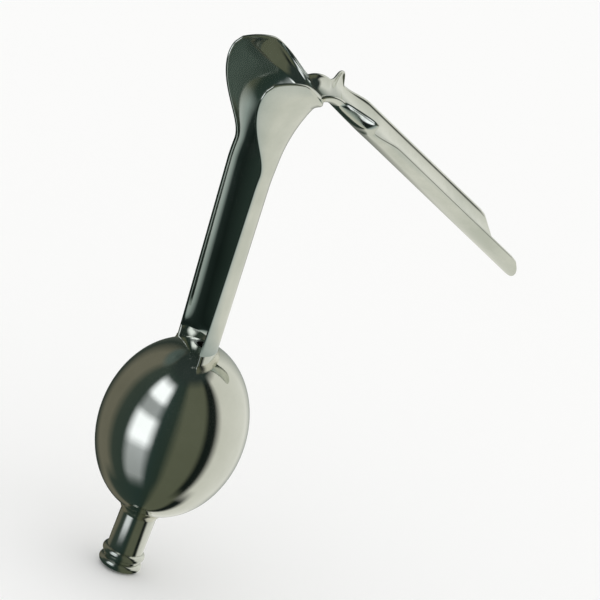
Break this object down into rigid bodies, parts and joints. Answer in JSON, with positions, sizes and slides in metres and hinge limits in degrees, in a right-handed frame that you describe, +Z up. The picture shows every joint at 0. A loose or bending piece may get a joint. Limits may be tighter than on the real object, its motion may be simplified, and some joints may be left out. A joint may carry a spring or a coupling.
{
  "type": "vaginal speculum",
  "caption": "Weighted vaginal speculum: polished steel trough blade, flared hood, open gutter handle and a lead filled egg shaped weight with a drain spout.",
  "frame": {"origin": "under the throat, on the outside of the sheet, where the handle's sweep meets the tight bend into the blade: the point that the instrument hangs from in use", "axes": "+Z up along the gutter handle, +X forward over the blade, +Y across the blade"},
  "size_m": [0.1433, 0.0576, 0.2225],
  "materials": {
    "polished_steel": "polished",
    "plain_steel": "drawn, unpolished",
    "silver_braze": "polished silver solder",
    "cast_lead": "as cast"
  },
  "bodies": {
    "root": {"blade": "polished_steel", "handle": "polished_steel", "throat_braze": "silver_braze", "foot_braze": "silver_braze", "upper_shell": "polished_steel", "lower_shell": "polished_steel", "seam_ring": "plain_steel", "lead_core": "cast_lead", "drain_tube": "plain_steel", "spout_collar": "silver_braze", "spout": "polished_steel"}
  },
  "joints": []
}
